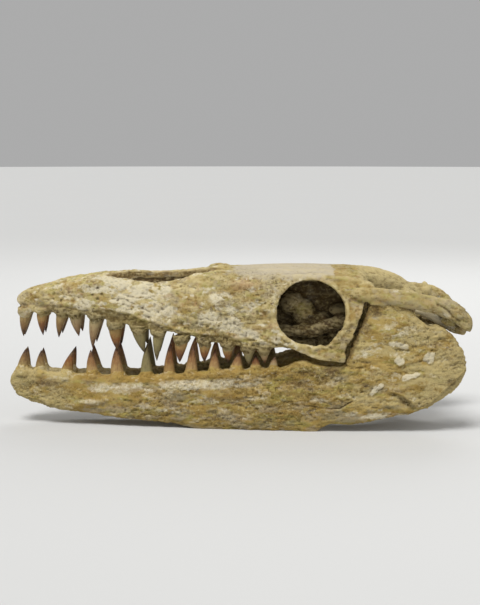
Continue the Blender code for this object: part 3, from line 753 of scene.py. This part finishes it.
def cranium_colour_masks(points, normals):
    """How strongly each mark, painted shade and painted light colours the cranium, 0 to 1."""
    x, y, z = points.T
    shifted, beside = mark_x(points), np.abs(y)
    cheek, over = side_of_face(points, normals), over_ledge(points)
    cracks, holes = cranium_lines(points)
    rim, nostril = orbit_rim(points), in_nostril(points)
    middle, reach = WHITE_SNOUT
    whiter = np.exp(-((shifted - middle) / reach) ** 2) * ramp(-2, 4, over)
    # Painted light: the lower arm, shaded by the temporal bar, is paled as if lit.
    painted_light_on_arm = (x > 208) * (x < 256) * (z < 150) * ramp(50, 53, beside) * ramp(68, 64, beside)
    chalky = strongest(cheek * strongest(whiter, stain(shifted, z, CRANIUM_CHALK)), painted_light_on_arm)
    # Painted shade in the groove along the temporal bar.
    groove = along_edge(points, BAR_GROOVE, 1.8) * (beside > BARS_FROM)
    # Painted light: the temporal wall, shaded behind the bar, is paled as if lit.
    wall = ramp(135, 150, x) * ramp(158, 166, z) * (beside < 58)
    bar = ramp(160, 175, x) * (beside > 62)
    gum = cheek * (x < LEDGE_END)
    # Painted shade under the ledge at the back of the upper tooth row.
    rear_ledge_shade = ramp(-3, -8, over) * gum * ramp(-90, -40, x)
    dabs = functools.partial(patches, points)
    return {
        "chalk_and_painted_light": strongest(
            1.5 * chalky * dabs((15, 10, 8), 20, 0.68, 0.35),
            (0.8 - 0.6 * ramp(85, 115, x)) * dabs((9, 7, 5), 25, 0.18, 0.3),
            0.7 * rim * dabs((5, 5, 4), 135, 0.4, 0.3) * (z > ORBIT[1])),
        "ochre": strongest(
            1.2 * cheek * stain(shifted, z, CRANIUM_OCHRE) * dabs((11, 8, 6), 40, 0.7, 0.4),
            0.8 * dabs((13, 9, 7), 45, 0.2, 0.4),
            nostril),
        "lilac": 0.9 * dabs((15, 9, 7), 60, 0.25, 0.4),
        "grey": strongest(
            cheek * stain(shifted, z, CRANIUM_GREY) * dabs((10, 7, 5), 70, 0.6, 0.5),
            0.5 * bar * dabs((18, 8, 6), 75, 0.6, 0.5)),
        "green": dabs((12, 7, 5), 80, 0.28, 0.4),
        "pink": strongest(
            cheek * stain(shifted, z, CRANIUM_PINK),
            0.6 * dabs((7, 6, 5), 100, 0.06, 0.3)),
        # Olive under the ledge: partly a greenish stain, partly painted shade under its overhang.
        "olive": ramp(0.5, -5, over) * gum * (0.3 + 0.7 * ramp(-250, -225, x)),
        "tan": ramp(70, 115, x) * (1 - 0.35 * dabs((24, 18, 16), 120, 0.4, 0.4)),
        "filler": roof_filler(points),
        # Cracks and nerve openings are darkened as the bone is; the bar groove and the rear ledge get painted
        # shade.
        "brown": strongest(
            cheek * strongest(0.55 * cracks, 0.8 * holes), 0.7 * nostril, 0.5 * groove, 0.5 * rear_ledge_shade),
        "pale": strongest(1.1 * rim * dabs((7, 7, 5), 130, 0.7, 0.4), wall),
        "inside": cranium_painted_shade(points),
        "rough": dabs((60, 34, 26), 9, 0.5, 0.5),
    }


def jaw_wander(points):
    """Height of each point, shaken a little so that ridges and grooves don't run like drawn lines."""
    return points[:, 2] + 1.2 * noise_at(points, 11, 30)


def jaw_lines(points):
    """Flakes, the narrow groove and the bevel of the back plate: how far a point is on each."""
    x, _, z = points.T
    shifted, wander = mark_x(points), jaw_wander(points)
    ragged = shifted + 2 * noise_at(points, 6, 32), z + 1.7 * noise_at(points, 4, 31)
    chips = strongest(*[flake(*ragged, *spot) for spot in JAW_FLAKES])
    narrow = strongest(*[near_line(shifted, wander, line, width) for line, _, width in JAW_GROOVES
                         if width < 2])
    start_x, start_z, back, down = BEVEL
    bevel = ramp(0, 5, (shifted - start_x) * back - (z - start_z) * down) * (x > 205) * (z < 100)
    return chips, narrow, bevel


def jaw_relief(points, normals):
    """How far weathering and the marks raise or lower a lower jaw's skin."""
    shifted, wander = mark_x(points), jaw_wander(points)
    outer = ramp(0, 0.4, outward(points, normals))
    chips, _, bevel = jaw_lines(points)
    relief = bone_relief(points, 11) + outer * (FLAKE_HEIGHT * chips - BEVEL_DEPTH * bevel)
    for line, height, width in JAW_RIDGES:
        relief += outer * height * near_line(shifted, wander, line, width)
    for line, depth, width in JAW_GROOVES:
        relief -= outer * depth * near_line(shifted, wander, line, width)
    return relief


def jaw_colour_masks(points, normals):
    """How strongly each mark, painted shade and painted light colours a lower jaw, 0 to 1."""
    x, _, z = points.T
    shifted = mark_x(points)
    outer = ramp(0, 0.4, outward(points, normals))
    inner = ramp(0, 0.4, -outward(points, normals))
    chips, narrow, bevel = jaw_lines(points)
    band_height = np.interp(x, *np.array(JAW_CHALK_BAND).T)
    chalk_band = np.exp(-((z - band_height) / 7) ** 4) * ramp(-200, -170, x) * ramp(45, 15, x)
    under_teeth = along(JAW_TOP, np.clip(x, JAW_FRONT, JAW_BACK)) - z
    gum_line = ramp(11, 4, under_teeth) * ramp(-205, -180, x) * ramp(75, 50, x)
    from_front = distance_to_line(x, z, PLATE_FRONT)
    chalky = strongest(0.85 * chalk_band, chips, stain(shifted, z, JAW_CHALK))
    bleached = strongest((0.85 + 0.4 * ramp(205, 235, x)) * ramp(110, 150, x) * ramp(22, 40, z),
                         0.8 * ramp(-190, -225, x))
    dabs = functools.partial(patches, points)
    return {
        "chalk_and_painted_light": strongest(
            (0.75 + 0.4 * ramp(100, 140, x)) * outer * chalky * dabs((22, 11, 8), 140, 0.66, 0.35),
            0.45 * dabs((14, 8, 6), 145, 0.12, 0.3),
            outer * chips * dabs((7, 6, 5), 150, 0.7, 0.5),
            # Painted light: the inner wall of the jaw under the teeth, paled as if lit.
            0.35 * inner * ramp(22, 8, under_teeth) * (x < 80)),
        "ochre": strongest(
            outer * stain(shifted, z, JAW_OCHRE) * dabs((20, 9, 7), 160, 0.75, 0.5),
            0.6 * dabs((26, 12, 8), 165, 0.25, 0.4),
            0.9 * outer * gum_line),
        "lilac": strongest(
            0.8 * outer * chalk_band * dabs((22, 10, 7), 180, 0.6, 0.5),
            (0.5 + 0.5 * ramp(45, 20, z)) * dabs((24, 12, 8), 185, 0.32, 0.4)),
        "green": dabs((22, 10, 7), 200, 0.25, 0.5),
        "pink": strongest(stain(x, z, CORONOID_PINK), 0.5 * outer * stain(shifted, z, FRONT_PINK)),
        "grey": strongest(
            0.9 * outer * stain(shifted, z, JAW_GREY),
            0.6 * ramp(50, 20, z) * dabs((24, 12, 8), 205, 0.3, 0.4)),
        # Painted shade: the jaw darker towards its bottom, ahead of the back plate, as if lit from above.
        "tan": ramp(40, 5, z) * ramp(150, 60, x),
        "brown": strongest(
            outer * strongest(0.75 * stain(shifted, z, JAW_BROWN), 0.9 * narrow),
            # Painted shade beside the slot and in the corner under the temporal bar.
            0.75 * ramp(8, 2, from_front),
            stain(shifted, z, PLATE_CORNER)),
        "pale": strongest(0.7 * bevel * outer, bleached * dabs((30, 20, 16), 240, 0.75, 0.5)),
        # Painted shade in the slot, on the plate's front edge.
        "inside": 0.8 * ramp(3.5, 0.5, from_front),
        "rough": dabs((60, 34, 26), 19, 0.5, 0.5),
    }


def weather(obj, relief, colour_masks, floor=None):
    """Carves the relief into a skin and stores, for the material, its marks, its painted shade and light, and
    its hollows.
    """
    points, normals = surface(obj.data)
    points = points + normals * relief(points, normals)[:, None]
    if floor is not None:
        points[:, 2] = np.maximum(points[:, 2], floor)
    obj.data.vertices.foreach_set("co", (points * MM).ravel())
    obj.data.update()
    data = thin(obj, MOST_TRIANGLES).data
    points, normals = surface(data)
    fine, broad = hollows(data, 3), hollows(data, 24)
    masks = {name: np.zeros(len(points)) for name, _, _ in STAINS_SHADE_AND_LIGHT}
    masks.update(colour_masks(points, normals))
    # Hollows get grime and painted shade; raised edges get paler wear.
    masks["dirt_and_shade"] = 0.55 * ramp(0.02, 0.3, fine) + 0.5 * ramp(0.1, 1.8, broad)
    masks["worn"] = 0.6 * ramp(0.02, 0.25, -fine) + 0.4 * ramp(0.1, 1.4, -broad)
    for name, values in masks.items():
        data.attributes.new(name, "FLOAT", "POINT").data.foreach_set("value", np.clip(values, 0, 1))
    place_vertices(data, points)
    return obj


def crown(name, neck, tip, radius, down, first_flute):
    """A curved conical crown on its hidden root, with faint cutting edges and flutes."""
    root = neck - Vector((0, 0, down * ROOT_LENGTH))
    length = (tip - neck).length
    along_jaw, across_jaw = (share * radius for share in ROOT_SHARES)
    rings = [[root + Vector((along_jaw * math.cos(a), across_jaw * math.sin(a), 0))
              for a in turns(CROWN_SIDES)]]
    heights = [0]
    forward, outside = CROWN_BOW
    outside *= math.copysign(1, neck.y)
    for k in range(CROWN_RINGS + 1):
        share = k / CROWN_RINGS
        bow = length * math.sin(math.pi * share)
        centre = neck.lerp(tip, share) + Vector((-forward * bow, outside * bow, 0))
        slim = (1 - share ** CROWN_TAPER[0]) ** CROWN_TAPER[1]
        width = max(CROWN_GROWTH * radius * slim + 0.28 * (1 - share), TIP_RADIUS)
        ring = []
        for a in turns(CROWN_SIDES):
            edge = 1 + CUTTING_EDGE * abs(math.cos(a)) ** 6
            wide = width * (1 + FLUTE_DEPTH * math.cos(FLUTES * a + first_flute) * (1 - share))
            ring.append(centre + Vector((wide * edge * math.cos(a), CROWN_FLATNESS * wide * math.sin(a), 0)))
        rings.append(ring)
        heights.append(share)
    obj = make_object(f"{name}_crown", loft(rings))
    mark = obj.data.attributes.new("height", "FLOAT", "POINT")
    mark.data.foreach_set("value", np.repeat(heights, CROWN_SIDES))
    place_vertices(obj.data, surface(obj.data)[0])
    return obj


class Shader:
    """A material's node tree, built up call by call."""

    def __init__(self, name):
        self.material = bpy.data.materials.new(name)
        self.material.use_nodes = True
        self.tree = self.material.node_tree
        self.surface = self.tree.nodes["Principled BSDF"]

    def node(self, kind, inputs=(), **settings):
        made = self.tree.nodes.new(kind)
        for key, value in settings.items():
            setattr(made, key, value)
        for key, value in dict(inputs).items():
            if isinstance(value, bpy.types.NodeSocket):
                self.tree.links.new(value, made.inputs[key])
            else:
                made.inputs[key].default_value = value
        return made

    def place(self, stretch=(1, 1, 1)):
        """Object coordinates in millimetres, squeezed along the axes given."""
        spot = self.node("ShaderNodeTexCoord").outputs["Object"]
        scale = [1000 * s for s in stretch]
        return self.node("ShaderNodeVectorMath", {0: spot, 1: scale}, operation="MULTIPLY").outputs[0]

    def noise(self, place, size, detail=4, roughness=0.55, twist=0):
        settings = {"Vector": place, "Scale": 1 / size, "Detail": detail, "Roughness": roughness,
                    "Distortion": twist}
        return self.node("ShaderNodeTexNoise", settings).outputs["Fac"]

    def rescale(self, value, to_low, to_high, low=0.0, high=1.0, shape="LINEAR"):
        """Value carried from the range low to high into another, which it doesn't leave."""
        settings = {"Value": value, "From Min": low, "From Max": high, "To Min": to_low, "To Max": to_high}
        return self.node("ShaderNodeMapRange", settings, interpolation_type=shape).outputs["Result"]

    def band(self, value, low, high):
        """Value stretched so that low becomes 0 and high becomes 1."""
        return self.rescale(value, 0.0, 1.0, low, high, "SMOOTHSTEP")

    def mark(self, name):
        return self.node("ShaderNodeAttribute", attribute_name=name).outputs["Fac"]

    def math(self, operation, first, second):
        made = self.node("ShaderNodeMath", {0: first, 1: second}, operation=operation, use_clamp=True)
        return made.outputs[0]

    def times(self, first, second):
        return self.math("MULTIPLY", first, second)

    def mix(self, first, second, share):
        inputs = {0: share, 6: first, 7: second}
        return self.node("ShaderNodeMix", inputs, data_type="RGBA", clamp_factor=True).outputs[2]

    def finish(self, colour, roughness, height, depth):
        """Links the colour, the roughness and a bump of the given depth in millimetres."""
        bump = self.node("ShaderNodeBump", {"Height": height, "Distance": depth * MM, "Strength": 1})
        for name, value in (("Base Color", colour), ("Roughness", roughness), ("Normal", bump.outputs[0])):
            self.tree.links.new(value, self.surface.inputs[name])
        return self.material


def bone_material(name, ground, light, deep):
    """Dry fossil bone: mottled, stained, pitted, with grime and painted shade in its hollows, paler on its
    edges, and with the painted shade and light of its masks.
    """
    s = Shader(name)
    even, long, fibrous = s.place(), s.place((0.6, 1, 1)), s.place((0.35, 1, 1))
    colour = s.mix(ground, light, s.band(s.noise(long, 20, 5, 0.65, 0.4), 0.42, 0.62))
    colour = s.mix(colour, deep, s.times(s.band(s.noise(long, 11, 6, 0.7, 0.5), 0.5, 0.66), 0.5))
    colour = s.mix(colour, light, s.times(s.band(s.noise(even, 5, 6, 0.7), 0.5, 0.64), 0.4))
    ragged = s.noise(even, 4, 6, 0.72, 0.3)
    torn = s.rescale(ragged, 0.35, 1.5, 0.3, 0.7)
    # Stains, painted shade and painted light, laid on in turn.
    for mask, tint, strength in STAINS_SHADE_AND_LIGHT:
        share = s.band(s.times(s.mark(mask), torn), 0.1, 0.85)
        colour = s.mix(colour, tint, s.times(share, strength))
    colour = s.mix(colour, light, s.times(s.mark("worn"), 0.35))
    # Grime and painted shade in the hollows.
    colour = s.mix(colour, DIRT_AND_SHADE, s.times(s.mark("dirt_and_shade"), 0.7))
    rough = s.math("ADD", s.times(s.mark("rough"), 0.7), 0.3)
    # Less grain where the shade is painted.
    rough = s.times(rough, s.math("SUBTRACT", 1.0, s.times(s.mark("inside"), 0.8)))
    for size, place, dark, pale in ((3.4, even, 0.7, 0.6), (2.4, fibrous, 0.35, 0.3)):
        grain = s.noise(place, size, 4, 0.7)
        colour = s.mix(colour, PIT, s.times(s.times(s.band(grain, 0.56, 0.68), dark), rough))
        colour = s.mix(colour, GRAIN, s.times(s.times(s.band(grain, 0.44, 0.32), pale), rough))
    s.surface.inputs["Specular IOR Level"].default_value = 0.12
    coarse = s.times(s.noise(even, 2.6, 8, 0.75), 0.6)
    height = s.math("ADD", coarse, s.times(s.noise(fibrous, 1.6, 5, 0.7), 0.4))
    return s.finish(colour, s.rescale(ragged, 0.95, 0.65), s.times(height, rough), 2.6)


def crown_material(name, base, middle, tip):
    """Enamel: bony where it leaves the collar, browner and glossier towards its tip, with upright streaks."""
    s = Shader(f"{name}_enamel")
    upright = s.place((1, 1, 0.1))
    wander = s.noise(s.place(), 4, 4, 0.6)
    height = s.math("ADD", s.times(s.mark("height"), 0.6), s.times(wander, 0.4))
    colour = s.mix(base, middle, s.band(height, 0.24, 0.52))
    colour = s.mix(colour, tip, s.band(height, 0.5, 0.74))
    dark_streak = s.band(s.noise(upright, 1.6, 5, 0.7), 0.48, 0.66)
    colour = s.mix(colour, tip, s.times(dark_streak, 0.45))
    pale_streak = s.band(s.noise(upright, 1.1, 4, 0.65), 0.56, 0.66)
    colour = s.mix(colour, STREAK, s.times(pale_streak, 0.3))
    blotch = s.band(s.noise(s.place(), 3.2, 5, 0.65), 0.52, 0.7)
    colour = s.mix(colour, base, s.times(blotch, 0.35))
    s.surface.inputs["Specular IOR Level"].default_value = 0.35
    roughness = s.rescale(s.mark("height"), 0.55, 0.22)
    return s.finish(colour, roughness, s.noise(upright, 1.0, 4, 0.65), 0.6)


def wear(obj, material, slot, *nodes):
    """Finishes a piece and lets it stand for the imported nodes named."""
    obj.data.materials.clear()
    obj.data.materials.append(material)
    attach(obj, BODY)
    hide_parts(*nodes)


def add_camera():
    camera = add_object("camera", bpy.data.cameras.new("camera"))
    pitch = math.radians(CAMERA_PITCH)
    back = Vector((0, -math.cos(pitch), math.sin(pitch))) * CAMERA_DISTANCE
    camera.location = (Vector(CAMERA_TARGET) + back) * MM
    camera.rotation_euler = (math.pi / 2 - pitch, 0, 0)
    camera.data.sensor_width = SENSOR
    camera.data.lens = FOCAL_PIXELS / IMAGE_HEIGHT * SENSOR
    camera.data.clip_start = 0.05
    bpy.context.scene.camera = camera


def add_light(name, kind, place, strength, **settings):
    """A soft lamp at a place in metres, aimed at the skull."""
    lamp = bpy.data.lights.new(name, kind)
    lamp.energy = strength
    for key, value in settings.items():
        setattr(lamp, key, value)
    obj = add_object(name, lamp)
    obj.location = place
    obj.rotation_euler = (Vector((0, 0, 0.1)) - Vector(place)).to_track_quat("-Z", "Y").to_euler()


def add_stage():
    """A plain pale floor, an even backdrop and three soft lamps."""
    floor = bmesh.new()
    bmesh.ops.create_circle(floor, cap_ends=True, segments=64, radius=12)
    obj = make_object("floor", floor)
    s = Shader("floor_paint")
    s.surface.inputs["Base Color"].default_value = FLOOR_GREY
    s.tree.links.new(s.rescale(s.noise(s.place(), 300, 2), 0.7, 0.9), s.surface.inputs["Roughness"])
    obj.data.materials.append(s.material)
    world = bpy.data.worlds.new("studio")
    world.use_nodes = True
    world.node_tree.nodes["Background"].inputs["Color"].default_value = BACKDROP_GREY
    world.node_tree.nodes["Background"].inputs["Strength"].default_value = 0.5
    bpy.context.scene.world = world
    bpy.context.scene.view_settings.view_transform = "Standard"
    add_light("key", "SUN", (-0.6, -1.05, 2.2), 2.9, angle=math.radians(24))
    add_light("fill", "AREA", (1.5, -1.4, 0.9), 5, size=1.4)
    add_light("back", "AREA", (0.4, 1.6, 1.5), 12, size=1.4)


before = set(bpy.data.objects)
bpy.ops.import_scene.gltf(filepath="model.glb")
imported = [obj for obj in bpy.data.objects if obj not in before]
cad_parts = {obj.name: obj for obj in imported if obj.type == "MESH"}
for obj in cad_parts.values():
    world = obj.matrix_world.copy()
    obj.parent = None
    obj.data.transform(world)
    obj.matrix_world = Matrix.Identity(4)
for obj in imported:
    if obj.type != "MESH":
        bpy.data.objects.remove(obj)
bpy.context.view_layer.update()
add_camera()
add_stage()

cream_bone = bone_material("cranium_bone", *CREAM_BONE)
tan_bone = bone_material("jaw_bone", *TAN_BONE)
wear(weather(cranium(), cranium_relief, cranium_colour_masks), cream_bone, "bone", "cranium")
for side_name in SIDES:
    jaw = weather(lower_jaw(side_name), jaw_relief, jaw_colour_masks, floor=0)
    wear(jaw, tan_bone, "bone", f"{side_name}_lower_jaw")

enamels = {kind: crown_material(kind, *colours) for kind, colours in ENAMEL.items()}
for side_name in SIDES:
    for kind, (_, tooth_name, *shape) in zip(UPPER_ENAMEL + LOWER_ENAMEL, tooth_places(side_name)):
        wear(crown(tooth_name, *shape, first_flute=len(kind)), enamels[kind], "tooth", tooth_name)
